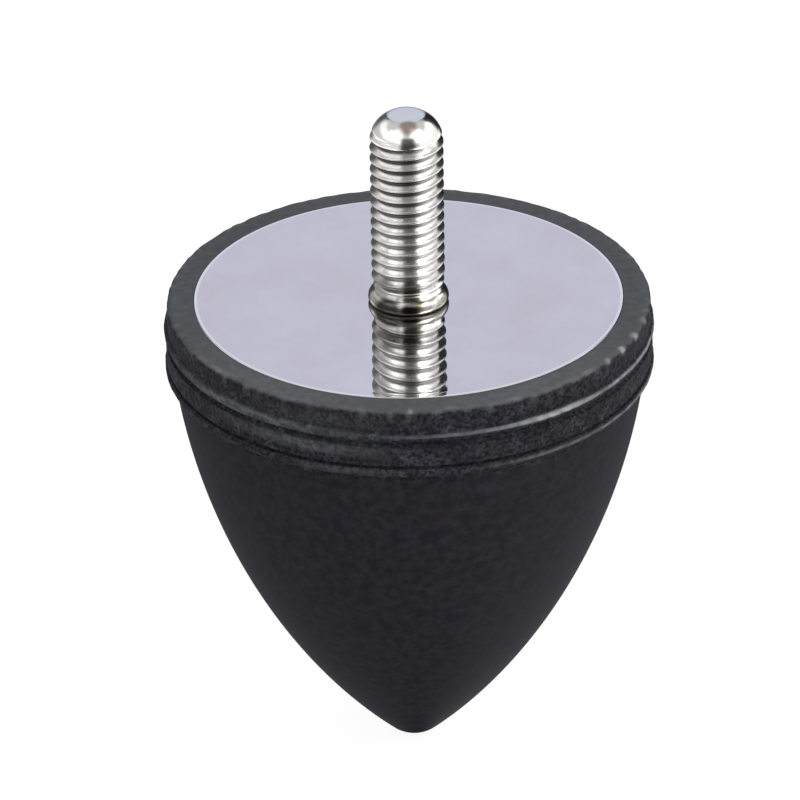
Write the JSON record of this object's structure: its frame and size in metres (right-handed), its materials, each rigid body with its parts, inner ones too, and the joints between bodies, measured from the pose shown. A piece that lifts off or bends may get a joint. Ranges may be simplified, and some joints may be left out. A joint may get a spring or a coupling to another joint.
{
  "type": "rubber bump stop",
  "caption": "Ogive rubber buffer bonded to a round steel plate, with a welded threaded stud for bolting it up as an end stop or spring.",
  "frame": {"origin": "centre of the plate's mounting face, on the stud's axis", "axes": "+Z along the stud, away from the rubber; the rubber nose points along -Z"},
  "size_m": [0.0522, 0.0522, 0.0753],
  "materials": {
    "black_rubber": "black vulcanised rubber, matt, with a fine moulded grain",
    "polished_steel": "bright nickel-like plated steel, near mirror, faintly hazed",
    "bright_plated_steel": "bright zinc plated rolled thread, straw tint at the weld flange"
  },
  "bodies": {
    "root": {"rubber_body": "black_rubber", "steel_plate": "polished_steel", "threaded_stud": "bright_plated_steel"}
  },
  "joints": []
}
